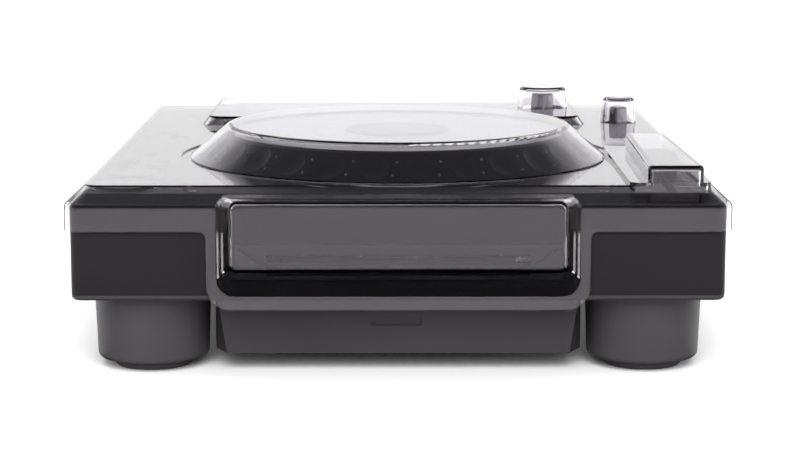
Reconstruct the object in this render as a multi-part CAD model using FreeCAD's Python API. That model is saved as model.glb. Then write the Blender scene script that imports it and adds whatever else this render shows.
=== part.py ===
import FreeCAD, Part
import math
import os

# A tabletop disc player for a DJ, under its clear lift-off dust cover.
# Millimetres. X to the right, Y to the back, Z up. The numbers below are in the player's own
# frame, with X = 0 and Y = 0 at the middle of its case and Z = 0 on the table. The pieces are
# moved at the end, so that the origin lies under the middle of the whole object.

# Case
case_width = 305.0
case_depth = 386.0
half_w = case_width / 2
half_d = case_depth / 2
case_bottom = 37.6
pan_thickness = 2.4
deck_top = 85.5
case_wall = 2.5
case_corner = 6.0
deck_thickness = 2.0
deck_rim = 2.6
deck_ledge = 3.0
deck_ledge_height = 1.5
fit_gap = 0.3

# Belly under the case, which gives the disc drive its depth
belly_bottom = 8.9
belly_edge_gap = 65.1
belly_back_half = half_w - belly_edge_gap
belly_top_half = belly_back_half - 1.4
belly_bottom_half = belly_back_half - 6.1
belly_splay_depth = 13.0
belly_front = -176.0
belly_rear = 96.0
belly_notch_width = 24.4
belly_notch_depth = 3.7
belly_notch_x = -1.0

# Feet
foot_x = half_w - 34.5
foot_front_y = -155.0
foot_rear_y = 150.0
foot_radius = 28.0
foot_taper = 1.3
foot_collar = 30.2
foot_collar_height = 4.0
pad_radius = 18.8
pad_height = 4.2
foot_bottom = pad_height

# Dust cover
cover_wall = 2.0
cover_gap = 0.8
cover_top = 89.8
cover_skirt_bottom = 70.4
cover_bevel_z = 82.6
cover_side_bevel = 8.0
cover_front_bevel = 17.0
cover_rear_bevel = 21.0
cover_corner = 8.0
cover_shoulder_round = 3.0
dome_edge_gap = 45.5
dome_run = 19.5
dome_base_radius = half_w - dome_edge_gap
dome_top_radius = dome_base_radius - dome_run
dome_top = 106.3
dome_round = 5.0
moat_width = 5.0
moat_depth = 0.7
cover_hood_x = -2.0
cover_hood_edge_gap = 45.5
cover_hood_half = half_w - cover_hood_edge_gap
cover_hood_draft = 3.5
cover_hood_front = 66.5
cover_hood_rear = 176.0
cover_hood_top = 94.7
cover_hood_corner = 9.0
selector_bump_radius = 15.1
selector_bump_top = 107.3
speed_bump_radius = 10.4
speed_bump_top = 104.8
bump_draft = 1.3
bump_round = 2.0
slider_block_front_half = 13.1
slider_block_rear_half = 10.3
slider_block_front = -184.0
slider_block_rear = -52.0
slider_block_top = 99.5
slider_step_height = 2.0
slider_step_left = 21.4
slider_step_right = 16.5
slider_step_rear = -46.0
flange_half = 89.0
flange_bottom = 33.6
flange_corner = 11.0
flange_inner_corner = 3.5
front_box_half = 84.5
front_box_face_half = 77.0
front_box_depth = 14.0
front_box_top = 86.6
front_box_face_bottom = 54.3
front_box_bottom = 40.0
front_box_round = 3.0
front_box_low_corner = 8.5
front_box_face_corner = 3.5
front_box_top_corner = 5.0
front_box_reach = 10.0
cover_rest_radius = 3.0
cover_rest_front_x = half_w - 54.5
cover_rest_front_y = -174.0
cover_rest_rear_x = half_w - 14.5
cover_rest_rear_y = 170.0

# Jog wheel
jog_y = -62.8
jog_cover_gap = 3.6
jog_skirt_radius = dome_base_radius - jog_cover_gap
jog_skirt_z = 87.9
jog_rim_radius = jog_skirt_radius - 15.0
jog_rim_z = 100.6
jog_top = 101.4
jog_clearance = 0.8
dimple_count = 28
dimple_phase = 6.1
dimple_radius = 7.2
dimple_depth = 1.3
plate_radius = jog_rim_radius - 3.4
plate_thickness = 2.0
plate_top = 100.4
hub_radius = 27.0
hub_wall = 3.0
hub_flange_radius = 46.0
hub_hole_radius = 41.0
bearing_radius = 33.0
bearing_bottom = 88.0
bearing_fit = 0.05
boss_wall = 4.0
center_display_radius = 26.6
gear_teeth = 96
encoder_teeth = 16
gear_module = 1.0
gear_bottom = 91.0
gear_height = 3.0
encoder_angle = 200.0

# Buttons, their flanges below the deck and the switches below them
button_proud = 1.5
button_travel = 0.8
button_flange = 1.2
button_flange_height = 1.6
switch_half = 3.0
switch_height = 3.0
board_thickness = 1.6
board_side_gap = 5.5
standoff_radius = 2.5
board_reach = 18.0
button_edge = 0.4
play_radius = 13.5
play_x = -half_w + 22.5
play_y = -162.0
cue_y = -126.0
small_button_radius = 5.0
key_half_length = 6.5
key_half_width = 3.6
left_column_x = -half_w + 22.5
button_spread = 8.0
track_row_y = -95.0
search_row_y = -76.0
loop_row_y = 28.0
reloop_row_y = 48.0
eject_x = half_w - 16.5
eject_y = 150.0
right_column_x = half_w - 21.5
tempo_reset_y = -34.0
tempo_hold_y = -14.0
tempo_range_y = 8.0
mode_y = 32.0

# Display hood
hood_cover_gap = 4.5
hood_half = cover_hood_half - hood_cover_gap
hood_front = 71.5
hood_rear = 170.0
hood_top = 90.4
hood_wall = 2.0
hood_corner = 6.0
window_x0 = -hood_half + 10.5
window_x1 = hood_half - 50.5
window_y0 = 88.0
window_y1 = 162.0
window_thickness = 1.5
display_thickness = 3.0
hood_row_y = 79.0
hood_row_x0 = -hood_half + 24.5
hood_row_pitch = 44.0
hood_key_half_length = 8.0
hood_key_half_width = 2.6
back_x = hood_half - 32.5
back_y = 84.0

# Rotary selector, speed knob and tempo slider
selector_x = hood_half - 15.1
selector_y = 119.0
selector_radius = 7.0
selector_top = 103.0
speed_x = half_w - 23.3
speed_y = 81.5
speed_radius = 5.5
speed_top = 98.8
shaft_radius = 3.0
shaft_fit = 0.06
knob_gap = 0.4
slider_x = half_w - 22.9
slider_y = -118.0
slider_travel = 50.0
slider_cap_half_x = 8.0
slider_cap_half_y = 5.5
slider_cap_top = 95.5
slider_stem_half = 1.6
slider_slot_half = 2.2
reverse_y = -46.0
reverse_angle = 12.0
lever_pivot_z = 79.2
lever_top = 87.0
lever_half_x = 3.2
lever_half_y = 2.2
lever_pin_radius = 1.0

# Disc drive
disc_plane = 56.3
slot_half = 62.0
slot_height = 4.6
mouth_top_half = 75.5
mouth_mid_half = 62.8
mouth_bottom_half = 61.0
mouth_top = 62.5
mouth_mid = 53.8
mouth_bottom = 49.7
mouth_recess = 3.0
bezel_depth = 9.0
spindle_y = -96.0
frame_half = 72.0
frame_front = -166.0
frame_rear = 6.0
frame_z = 45.0
frame_thickness = 1.6
turntable_radius = 15.0
turntable_height = 2.0
spindle_boss_radius = 7.4
motor_radius = 13.0
sled_half = 19.0
sled_length = 20.0
sled_inner_y = -70.0
sled_travel = 34.0
rod_x = 15.5
rod_radius = 1.5
screw_x = 27.0
roller_radius = 4.5
roller_y = -176.0
roller_half = 55.0
clamp_radius = 15.0
clamp_pivot_y = -6.0
clamp_pivot_z = 66.0
damper_radius = 6.0

# Sockets in the rear panel and the deck
usb_x = -half_w + 21.5
usb_y = 122.0
usb_half_x = 7.0
usb_half_y = 3.6
usb_depth = 13.0
inlet_x = -half_w + 40.5
inlet_z = 60.0
inlet_half_x = 13.8
inlet_half_z = 9.8
inlet_depth = 17.0
socket_wall = 1.6
power_button_x = inlet_x + 36.0
power_button_radius = 5.5
supply_width = 50.0
jack_x0 = 30.0
jack_pitch = 18.0
jack_count = 3
jack_outer = 4.15
jack_bore = 1.6
jack_reach = 2.6
lan_x = half_w - 56.5
lan_half_x = 6.2
lan_half_z = 4.6
data_x = half_w - 30.5
data_half_x = 4.4
data_half_z = 4.0
port_depth = 12.0
screw_radius = 3.2
screw_height = 1.2
screw_edge_gap = 10.5

# Sizes that follow from those above
deck_under = deck_top - deck_thickness
cover_half = half_w + cover_gap + cover_wall
cover_end = half_d + cover_gap + cover_wall
object_front = -cover_end - front_box_depth
object_rear = cover_end
origin_y = (object_front + object_rear) / 2
hood_under = hood_top - hood_wall


def vec(x, y, z):
    return FreeCAD.Vector(x, y, z)


def box(x0, x1, y0, y1, z0, z1):
    return Part.makeBox(x1 - x0, y1 - y0, z1 - z0, vec(x0, y0, z0))


def cylinder(radius, z0, z1, x=0.0, y=0.0):
    return Part.makeCylinder(radius, z1 - z0, vec(x, y, z0))


def tube(outer, inner, z0, z1, x=0.0, y=0.0):
    return cylinder(outer, z0, z1, x, y).cut(cylinder(inner, z0, z1, x, y))


def cone(radius0, radius1, z0, z1, x=0.0, y=0.0):
    return Part.makeCone(radius0, radius1, z1 - z0, vec(x, y, z0))


def cylinder_along(axis, radius, start, length):
    direction = {"x": vec(1, 0, 0), "y": vec(0, 1, 0)}[axis]
    return Part.makeCylinder(radius, length, start, direction)


def fuse(shapes):
    first = shapes[0]
    if len(shapes) == 1:
        return first
    return first.multiFuse(shapes[1:]).removeSplitter()


def cut(shape, tools):
    return shape.cut(fuse(tools)) if len(tools) == 1 else shape.cut(tools[0].multiFuse(tools[1:]))


def prism(points, direction):
    """Extrudes a closed outline, given by its corners, along a vector."""
    wire = Part.makePolygon(points + [points[0]])
    return Part.Face(wire).extrude(direction)


def rounded_wire(x0, x1, y0, y1, z, radius):
    """Closed rectangle with round corners in a level plane."""
    bend = radius * (1 - math.sqrt(0.5))
    corners = [(x1, y0, -1, 1), (x1, y1, -1, -1), (x0, y1, 1, -1), (x0, y0, 1, 1)]
    edges = []
    last = vec(x0 + radius, y0, z)
    first = last
    for index, (cx, cy, sx, sy) in enumerate(corners):
        along_x = index % 2 == 0
        start = vec(cx + sx * radius, cy, z) if along_x else vec(cx, cy + sy * radius, z)
        end = vec(cx, cy + sy * radius, z) if along_x else vec(cx + sx * radius, cy, z)
        middle = vec(cx + sx * bend, cy + sy * bend, z)
        edges.append(Part.LineSegment(last, start).toShape())
        edges.append(Part.Arc(start, middle, end).toShape())
        last = end
    edges[-1] = Part.Arc(start, middle, first).toShape()
    return Part.Wire(edges)


def rounded_box(x0, x1, y0, y1, z0, z1, radius):
    face = Part.Face(rounded_wire(x0, x1, y0, y1, z0, radius))
    return face.extrude(vec(0, 0, z1 - z0))


def rounded_loft(low, high):
    """Ruled solid between two rounded rectangles, each (x0, x1, y0, y1, z, radius)."""
    return Part.makeLoft([rounded_wire(*low), rounded_wire(*high)], True, True)


def edges_at_z(shape, z):
    """Edges that lie wholly in the level plane at z."""
    return [e for e in shape.Edges if abs(e.BoundBox.ZMin - z) < 0.01 and abs(e.BoundBox.ZMax - z) < 0.01]


def miter(run, rise):
    """How far a sloped wall's foot moves in, for each millimetre that the whole form moves in."""
    slope = run / rise
    return math.hypot(1, slope) - slope


def revolve(edges, x, y):
    face = Part.Face(Part.Wire(edges))
    solid = face.revolve(vec(0, 0, 0), vec(0, 0, 1), 360)
    solid.translate(vec(x, y, 0))
    return solid


def line(a, b):
    return Part.LineSegment(vec(a[0], 0, a[1]), vec(b[0], 0, b[1])).toShape()


def round_top_frustum(base, top, z_base, z_top, radius, z_foot, x, y):
    """Turned bump: straight sloped side from a foot, with its top edge rounded."""
    run = base - top
    rise = z_top - z_base
    length = math.hypot(run, rise)
    side = (run / length, -rise / length)
    turn = math.pi / 2 - math.atan2(run, rise)
    reach = radius * math.tan(turn / 2)
    low = (top + side[0] * reach, z_top + side[1] * reach)
    high = (top - reach, z_top)
    center = (top - reach, z_top - radius)
    half_turn = math.pi / 2 - turn / 2
    middle = (center[0] + radius * math.cos(half_turn), center[1] + radius * math.sin(half_turn))
    arc = Part.Arc(vec(low[0], 0, low[1]), vec(middle[0], 0, middle[1]), vec(high[0], 0, high[1]))
    corners = [(0, z_foot), (base, z_foot), (base, z_base), low]
    edges = [line(a, b) for a, b in zip(corners, corners[1:])]
    edges += [arc.toShape(), line(high, (0, z_top)), line((0, z_top), (0, z_foot))]
    return revolve(edges, x, y)


# Dust cover

def cover_plane_form(inset):
    """Skirt, sloped shoulder and level top, moved in all round by the inset."""
    half = cover_half - inset
    end = cover_end - inset
    corner = cover_corner - inset
    foot = cover_skirt_bottom if inset == 0 else flange_bottom - 1.0
    rise = cover_top - cover_bevel_z
    shoulder = cover_bevel_z - inset * miter(rise, cover_side_bevel)
    top_half = cover_half - cover_side_bevel - inset * miter(cover_side_bevel, rise)
    top_front = -cover_end + cover_front_bevel + inset * miter(cover_front_bevel, rise)
    top_rear = cover_end - cover_rear_bevel - inset * miter(cover_rear_bevel, rise)
    skirt = rounded_box(-half, half, -end, end, foot, shoulder, corner)
    low = (-half, half, -end, end, shoulder, corner)
    high = (-top_half, top_half, top_front, top_rear, cover_top - inset, corner)
    form = fuse([skirt, rounded_loft(low, high)])
    return form.makeFillet(cover_shoulder_round - inset / 2, edges_at_z(form, shoulder))


def cover_hood_form(inset):
    rise = cover_hood_top - cover_top
    shift = inset * miter(cover_hood_draft, rise)
    top = cover_hood_top - inset
    foot = cover_top - inset - 1.0
    grow = cover_hood_draft * (top - foot) / rise
    left = cover_hood_x - cover_hood_half + shift
    right = cover_hood_x + cover_hood_half - shift
    front = cover_hood_front + cover_hood_draft / 2 + shift
    rear = cover_hood_rear - shift
    corner = cover_hood_corner - inset
    high = (left, right, front, rear, top, corner)
    low = (left - grow, right + grow, front - grow, rear + grow / 2, foot, corner)
    return rounded_loft(low, high)


def dome_form(inset):
    run = dome_base_radius - dome_top_radius
    shift = inset * miter(run, dome_top - cover_top)
    return round_top_frustum(dome_base_radius - shift, dome_top_radius - shift, cover_top - inset,
                             dome_top - inset, dome_round - inset, cover_top - inset - 1.0, 0, jog_y)


def bump_form(radius, base, top, x, y, inset):
    return round_top_frustum(radius - inset, radius - bump_draft - inset, base - inset, top - inset,
                             bump_round - inset / 2, base - inset - 1.0, x, y)


def slider_block_form(inset):
    """Long tapered block over the tempo slider, with its low step on the left."""
    front = slider_block_front + inset
    rear = slider_block_rear - inset
    foot = cover_top - inset - 4.0
    front_half = slider_block_front_half - inset
    rear_half = slider_block_rear_half - inset
    outline = [vec(slider_x - front_half, front, foot), vec(slider_x + front_half, front, foot),
               vec(slider_x + rear_half, rear, foot), vec(slider_x - rear_half, rear, foot)]
    block = prism(outline, vec(0, 0, slider_block_top - inset - foot))
    upright = [e for e in block.Edges if e.BoundBox.ZLength > 5]
    block = block.makeFillet(3.0 - inset, upright)
    block = block.makeFillet(1.8 - inset / 2, edges_at_z(block, slider_block_top - inset))
    step_top = cover_top + slider_step_height - inset
    step = rounded_box(slider_x - slider_step_left + inset, slider_x + slider_step_right - inset,
                       front - 1.0, slider_step_rear - inset, foot, step_top, 4.0 - inset)
    return fuse([block, step])


def upright_outline(half, low, top, low_corner, top_corner, y):
    """Closed wire in an upright plane: a rectangle with round corners."""
    def bend(radius):
        return radius * (1 - math.sqrt(0.5))

    stops = [(half, low, -1, 1, low_corner), (half, top, -1, -1, top_corner),
             (-half, top, 1, -1, top_corner), (-half, low, 1, 1, low_corner)]
    first = vec(-half + low_corner, y, low)
    last = first
    edges = []
    for index, (x, z, sx, sz, radius) in enumerate(stops):
        level = index % 2 == 0
        start = vec(x + sx * radius, y, z) if level else vec(x, y, z + sz * radius)
        end = vec(x, y, z + sz * radius) if level else vec(x + sx * radius, y, z)
        middle = vec(x + sx * bend(radius), y, z + sz * bend(radius))
        edges.append(Part.LineSegment(last, start).toShape())
        edges.append(Part.Arc(start, middle, first if index == 3 else end).toShape())
        last = end
    return Part.Wire(edges)


def front_box_form(inset):
    """Bump over the disc slot: a flat face with round edges, tapered cheeks and a sloped underside."""
    face = -cover_end - front_box_depth + inset
    base = -cover_end + inset
    low = front_box_bottom + inset
    drop = front_box_face_bottom - front_box_bottom
    face_low = front_box_face_bottom + inset * miter(front_box_depth, drop)
    wide = front_box_half - inset
    narrow = front_box_face_half - inset * miter(front_box_half - front_box_face_half, front_box_depth)
    top = front_box_top - inset
    low_corner = front_box_low_corner - inset
    top_corner = front_box_top_corner - inset
    face_corner = front_box_face_corner - inset
    foot = upright_outline(wide, low, top, low_corner, top_corner, base)
    front = upright_outline(narrow, face_low, top, face_corner, top_corner, face)
    nose = Part.makeLoft([foot, front], True, True)
    rim = [e for e in nose.Edges if abs(e.BoundBox.YMin - face) < 0.01 and abs(e.BoundBox.YMax - face) < 0.01]
    nose = nose.makeFillet(front_box_round - 0.9 * inset, rim)
    back = Part.Face(foot).extrude(vec(0, front_box_reach - inset, 0))
    return fuse([nose, back])


def flange_plate():
    """Apron in front, which hangs below the skirt on both sides of the slot."""
    y = -cover_end
    top = cover_skirt_bottom + 6.0
    bend = flange_corner * (1 - math.sqrt(0.5))
    arm = flange_inner_corner
    arm_bend = arm * (1 - math.sqrt(0.5))
    low = flange_bottom
    skirt = cover_skirt_bottom
    side = flange_half
    edges = []

    def add_line(a, b):
        edges.append(Part.LineSegment(vec(a[0], y, a[1]), vec(b[0], y, b[1])).toShape())

    def add_arc(a, b, c):
        edges.append(Part.Arc(vec(a[0], y, a[1]), vec(b[0], y, b[1]), vec(c[0], y, c[1])).toShape())

    add_line((-side + flange_corner, low), (side - flange_corner, low))
    add_arc((side - flange_corner, low), (side - bend, low + bend), (side, low + flange_corner))
    add_line((side, low + flange_corner), (side, skirt - arm))
    add_arc((side, skirt - arm), (side + arm_bend, skirt - arm_bend), (side + arm, skirt))
    add_line((side + arm, skirt), (side + arm, top))
    add_line((side + arm, top), (-side - arm, top))
    add_line((-side - arm, top), (-side - arm, skirt))
    add_arc((-side - arm, skirt), (-side - arm_bend, skirt - arm_bend), (-side, skirt - arm))
    add_line((-side, skirt - arm), (-side, low + flange_corner))
    add_arc((-side, low + flange_corner), (-side + bend, low + bend), (-side + flange_corner, low))
    return Part.Face(Part.Wire(edges)).extrude(vec(0, cover_wall, 0))


def moat():
    """Shallow trough in the cover round the foot of the dome."""
    return tube(dome_base_radius + moat_width, dome_base_radius - 1, cover_top - moat_depth, cover_top + 1,
                0, jog_y)


def cover_form(inset):
    """The whole outside of the cover, moved in by the inset."""
    plane = cover_plane_form(inset)
    if inset == 0:
        plane = plane.cut(moat())
    parts = [plane, cover_hood_form(inset), dome_form(inset),
             slider_block_form(inset),
             bump_form(selector_bump_radius, cover_hood_top, selector_bump_top, selector_x, selector_y, inset),
             bump_form(speed_bump_radius, cover_top, speed_bump_top, speed_x, speed_y, inset)]
    return fuse(parts)


def dust_cover():
    shell = fuse([cover_form(0.0), flange_plate(), front_box_form(0.0)])
    hollow = fuse([cover_form(cover_wall), front_box_form(cover_wall)])
    shell = shell.cut(hollow)
    rests = []
    for sign in (-1, 1):
        for x, y in ((cover_rest_front_x, cover_rest_front_y), (cover_rest_rear_x, cover_rest_rear_y)):
            rests.append(cylinder(cover_rest_radius, deck_top + fit_gap, cover_top - cover_wall / 2,
                                  sign * x, y))
    return fuse([shell] + rests)


# Case

def case_outline(inset, z0, z1):
    return rounded_box(-half_w + inset, half_w - inset, -half_d + inset, half_d - inset, z0, z1,
                       case_corner - inset)


def case_form(inset):
    """Outside of the case, moved in by the inset: it runs inside the cover all round."""
    form = cover_plane_form(cover_gap + cover_wall + inset)
    lower = case_outline(inset, case_bottom, cover_skirt_bottom)
    top = deck_top - inset
    keep = box(-half_w, half_w, -half_d, half_d, case_bottom, top)
    return fuse([lower, form]).common(keep)


def level_edge(run):
    """How far the deck's level part stays back from the case's side, at that shoulder's run."""
    inset = cover_gap + cover_wall
    rise = cover_top - cover_bevel_z
    shoulder = cover_bevel_z - inset * miter(rise, cover_side_bevel)
    return (deck_top - shoulder) * run / rise


def deck_hole(inset):
    """Place of the deck panel in the top of the case."""
    x = half_w - level_edge(cover_side_bevel) - deck_rim - inset
    front = -half_d + level_edge(cover_front_bevel) + deck_rim + inset
    rear = half_d - level_edge(cover_rear_bevel) - deck_rim - inset
    return -x, x, front, rear


def case_shell():
    below = box(-half_w, half_w, -half_d, half_d, 0, case_bottom + pan_thickness)
    inside = box(-half_w, half_w, -half_d, half_d, 0, deck_under - deck_ledge_height)
    shell = cut(case_form(0), [below, case_form(case_wall).common(inside)])
    x0, x1, y0, y1 = deck_hole(0)
    shell = shell.cut(box(x0, x1, y0, y1, deck_under, deck_top + 1))
    shell = shell.cut(box(x0, x1, y0 + deck_ledge, y1 - deck_ledge, deck_under - 6, deck_top))
    slot_gap = mouth_top_half + 2.0
    shell = shell.cut(box(-slot_gap, slot_gap, -half_d - 1, -half_d + case_wall + 1,
                          mouth_bottom - 2, mouth_top + 2))
    shell = shell.cut(box(-half_w + 8, half_w - 8, half_d - case_wall - 1, half_d + 1,
                          case_bottom, deck_under - 10))
    return shell


def slot_mouth(grow):
    """Outline of the flared mouth round the disc slot, as corners in the front plane."""
    right = [(mouth_bottom_half + grow, mouth_bottom - grow), (mouth_mid_half + grow, mouth_mid - grow),
             (mouth_top_half + grow, mouth_top + grow)]
    points = right + [(-x, z) for x, z in reversed(right)]
    return [vec(x, -half_d, z) for x, z in points]


def slot_bezel():
    slot_gap = mouth_top_half + 2.0 - fit_gap
    y0 = -half_d
    block = box(-slot_gap, slot_gap, y0, y0 + bezel_depth, mouth_bottom - 2 + fit_gap,
                mouth_top + 2 - fit_gap)
    recess = prism(slot_mouth(0), vec(0, mouth_recess, 0))
    half = slot_height / 2
    slot = rounded_slot(slot_half, half, y0 - 1, y0 + bezel_depth + 1)
    return cut(block, [recess, slot])


def rounded_slot(half_x, half_z, y0, y1):
    slab = box(-half_x, half_x, y0, y1, disc_plane - half_z, disc_plane + half_z)
    edges = [e for e in slab.Edges if e.BoundBox.YLength > 1 and e.BoundBox.XLength < 0.01
             and e.BoundBox.ZLength < 0.01]
    return slab.makeFillet(half_z * 0.6, edges)


def belly_outline(half_x, back_half, front, z):
    wide = back_half
    back = belly_rear
    points = [(-half_x, front), (half_x, front), (wide, front + belly_splay_depth),
              (wide, back), (-wide, back), (-wide, front + belly_splay_depth)]
    corners = [vec(x, y, z) for x, y in points]
    return Part.makePolygon(corners + [corners[0]])


def belly_form(inset):
    back_half = belly_back_half - inset
    front = belly_front + inset
    low = belly_outline(belly_bottom_half - inset, back_half, front, belly_bottom + inset)
    high = belly_outline(belly_top_half - inset, back_half, front, case_bottom + pan_thickness)
    return Part.makeLoft([low, high], True, True)


def base_pan():
    plate = case_outline(0, case_bottom, case_bottom + pan_thickness)
    lower_edge = edges_at_z(plate, case_bottom)
    plate = plate.makeChamfer(1.0, lower_edge)
    pan = fuse([plate, belly_form(0)]).cut(belly_form(case_wall))
    notch = box(belly_notch_x - belly_notch_width / 2, belly_notch_x + belly_notch_width / 2,
                belly_front - 1, belly_front + 1.2, 26.0 - belly_notch_depth, 26.0)
    vents = [box(-6.0 + x, -3.5 + x, 20, 80, belly_bottom - 1, belly_bottom + case_wall + 1)
             for x in range(-48, 60, 9)]
    posts = []
    for sign in (-1, 1):
        for y in (frame_front + 14, frame_rear - 14):
            posts.append(box(sign * (frame_half - 6) - 7, sign * (frame_half - 6) + 7, y - 7, y + 7,
                             belly_bottom + case_wall, frame_z - damper_height()))
    pan = fuse([pan.cut(notch)] + posts)
    return cut(pan, vents)


def damper_height():
    return 5.0


def foot_centers():
    return [(sx * foot_x, y) for sx in (-1, 1) for y in (foot_front_y, foot_rear_y)]


def feet():
    legs = []
    for x, y in foot_centers():
        leg = cone(foot_radius - foot_taper, foot_radius, foot_bottom, case_bottom, x, y)
        leg = leg.makeFillet(2.5, edges_at_z(leg, foot_bottom))
        collar = cone(foot_collar - 1.2, foot_collar, case_bottom - foot_collar_height, case_bottom, x, y)
        socket = cylinder(pad_radius, foot_bottom - 1, foot_bottom + 1.2, x, y)
        legs.append(fuse([leg, collar]).cut(socket))
    return Part.makeCompound(legs)


def foot_pads():
    pads = []
    for x, y in foot_centers():
        pad = cylinder(pad_radius - 0.2, 0, foot_bottom + 1.2, x, y)
        groove = tube(pad_radius - 5, pad_radius - 7, -1, 0.8, x, y)
        pads.append(pad.makeChamfer(0.8, edges_at_z(pad, 0)).cut(groove))
    return Part.makeCompound(pads)


def case_screws():
    side = half_w - screw_edge_gap
    spots = [(sx * side, y) for sx in (-1, 1) for y in (-100, 60)]
    spots += [(sx * 60, 170) for sx in (-1, 1)]
    screws = []
    for x, y in spots:
        head = cylinder(screw_radius, case_bottom - screw_height, case_bottom, x, y)
        head = head.makeChamfer(0.5, edges_at_z(head, case_bottom - screw_height))
        cross = [box(x - 0.4, x + 0.4, y - 2, y + 2, case_bottom - 2, case_bottom - 0.6),
                 box(x - 2, x + 2, y - 0.4, y + 0.4, case_bottom - 2, case_bottom - 0.6)]
        screws.append(cut(head, cross))
    return Part.makeCompound(screws)


# Where the buttons are: name, x, y, kind and length of each

def round_buttons():
    small = small_button_radius
    left = left_column_x - button_spread
    right = left_column_x + button_spread
    return [("play_button", play_x, play_y, play_radius), ("cue_button", play_x, cue_y, play_radius),
            ("track_back_button", left, track_row_y, small), ("track_next_button", right, track_row_y, small),
            ("search_back_button", left, search_row_y, small),
            ("search_next_button", right, search_row_y, small),
            ("loop_in_button", left, loop_row_y, small), ("loop_out_button", right, loop_row_y, small),
            ("reloop_button", left_column_x, reloop_row_y, small),
            ("tempo_hold_button", right_column_x, tempo_hold_y, small)]


def key_buttons():
    long = key_half_length
    wide = key_half_width
    return [("tempo_reset_button", right_column_x, tempo_reset_y, long, wide),
            ("tempo_range_button", right_column_x, tempo_range_y, long, wide),
            ("mode_button", right_column_x, mode_y, long, wide),
            ("eject_button", eject_x, eject_y, long, wide)]


def hood_buttons():
    names = ["browse_button", "list_button", "menu_button"]
    keys = [(name, hood_row_x0 + i * hood_row_pitch, hood_row_y, hood_key_half_length, hood_key_half_width)
            for i, name in enumerate(names)]
    return keys + [("back_button", back_x, back_y, key_half_length, hood_key_half_width)]


def round_button(x, y, radius):
    top = deck_top + button_proud
    cap = cylinder(radius, deck_under - fit_gap, top, x, y)
    cap = cap.makeChamfer(button_edge, edges_at_z(cap, top))
    flange = cylinder(radius + button_flange, deck_under - fit_gap - button_flange_height,
                      deck_under - fit_gap, x, y)
    return fuse([cap, flange])


def key_button(x, y, half_x, half_y, under, top):
    low = under - fit_gap
    cap = rounded_box(x - half_x, x + half_x, y - half_y, y + half_y, low, top, half_y * 0.6)
    cap = cap.makeChamfer(button_edge, edges_at_z(cap, top))
    grow = button_flange
    flange = rounded_box(x - half_x - grow, x + half_x + grow, y - half_y - grow, y + half_y + grow,
                         low - button_flange_height, low, half_y * 0.6)
    return fuse([cap, flange])


def switch_top(under):
    return under - fit_gap - button_flange_height - button_travel - fit_gap


def switches(spots, under):
    top = switch_top(under)
    bodies = [box(x - switch_half, x + switch_half, y - switch_half, y + switch_half,
                  top - switch_height, top) for x, y in spots]
    return bodies


def board_level(under):
    return switch_top(under) - switch_height


def deck_panel():
    x0, x1, y0, y1 = deck_hole(fit_gap)
    panel = box(x0, x1, y0, y1, deck_under, deck_top)
    holes = [cylinder(hub_hole_radius - 2, deck_under - 1, deck_top + 1, 0, jog_y)]
    for name, x, y, radius in round_buttons():
        holes.append(cylinder(radius + fit_gap, deck_under - 1, deck_top + 1, x, y))
    for name, x, y, half_x, half_y in key_buttons():
        gap = fit_gap
        holes.append(rounded_box(x - half_x - gap, x + half_x + gap, y - half_y - gap, y + half_y + gap,
                                 deck_under - 1, deck_top + 1, half_y * 0.6))
    holes.append(box(slider_x - slider_slot_half, slider_x + slider_slot_half,
                     slider_y - slider_travel - 3, slider_y + slider_travel + 3, deck_under - 1, deck_top + 1))
    holes.append(cylinder(shaft_radius + 0.5, deck_under - 1, deck_top + 1, speed_x, speed_y))
    reach = (lever_top - lever_pivot_z) * math.sin(math.radians(reverse_angle)) + lever_half_y + 1.0
    holes.append(box(left_column_x - lever_half_x - 0.5, left_column_x + lever_half_x + 0.5,
                     reverse_y - reach, reverse_y + reach, deck_under - 1, deck_top + 1))
    holes.append(box(usb_x - usb_half_x - socket_wall, usb_x + usb_half_x + socket_wall,
                     usb_y - usb_half_y - socket_wall, usb_y + usb_half_y + socket_wall,
                     deck_under - 1, deck_top + 1))
    hood_hole = hood_half - 4
    holes.append(box(-hood_hole, hood_hole, hood_front + 4, hood_rear - 4, deck_under - 1, deck_top + 1))
    return cut(panel, holes)


def standoffs(x, spots):
    """Posts that hold a control board below the deck."""
    return [cylinder(standoff_radius, board_level(deck_under), deck_under, x, y) for y in spots]


# Display hood

def display_hood():
    low = deck_top
    outer = rounded_loft((-hood_half, hood_half, hood_front, hood_rear, low, hood_corner),
                         (-hood_half + 1.5, hood_half - 1.5, hood_front + 1.5, hood_rear - 1.5, hood_top,
                          hood_corner))
    outer = outer.makeFillet(0.8, edges_at_z(outer, hood_top))
    wall = hood_wall + 1.0
    inner = rounded_box(-hood_half + wall, hood_half - wall, hood_front + wall, hood_rear - wall,
                        low - 1, hood_under, hood_corner - 2)
    hood = outer.cut(inner)
    holes = [box(window_x0, window_x1, window_y0, window_y1, hood_top - window_thickness, hood_top + 1),
             box(window_x0 + 3, window_x1 - 3, window_y0 + 3, window_y1 - 3, low, hood_top)]
    for name, x, y, half_x, half_y in hood_buttons():
        gap = fit_gap
        holes.append(rounded_box(x - half_x - gap, x + half_x + gap, y - half_y - gap, y + half_y + gap,
                                 hood_under - 1, hood_top + 1, half_y * 0.6))
    holes.append(cylinder(shaft_radius + 0.5, hood_under - 1, hood_top + 1, selector_x, selector_y))
    hood = cut(hood, holes)
    low = board_level(hood_under)
    bosses = [cylinder(2.0, low, hood_under + 0.5, x, y)
              for x, y in ((7.5 - hood_half, hood_row_y - 1), (hood_half - 8.5, 90), (hood_half - 8.5, 150),
                           (window_x1 + 8, 150))]
    return fuse([hood] + bosses)


def display_window():
    gap = 0.15
    return box(window_x0 + gap, window_x1 - gap, window_y0 + gap, window_y1 - gap,
               hood_top - window_thickness, hood_top - 0.1)


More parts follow.
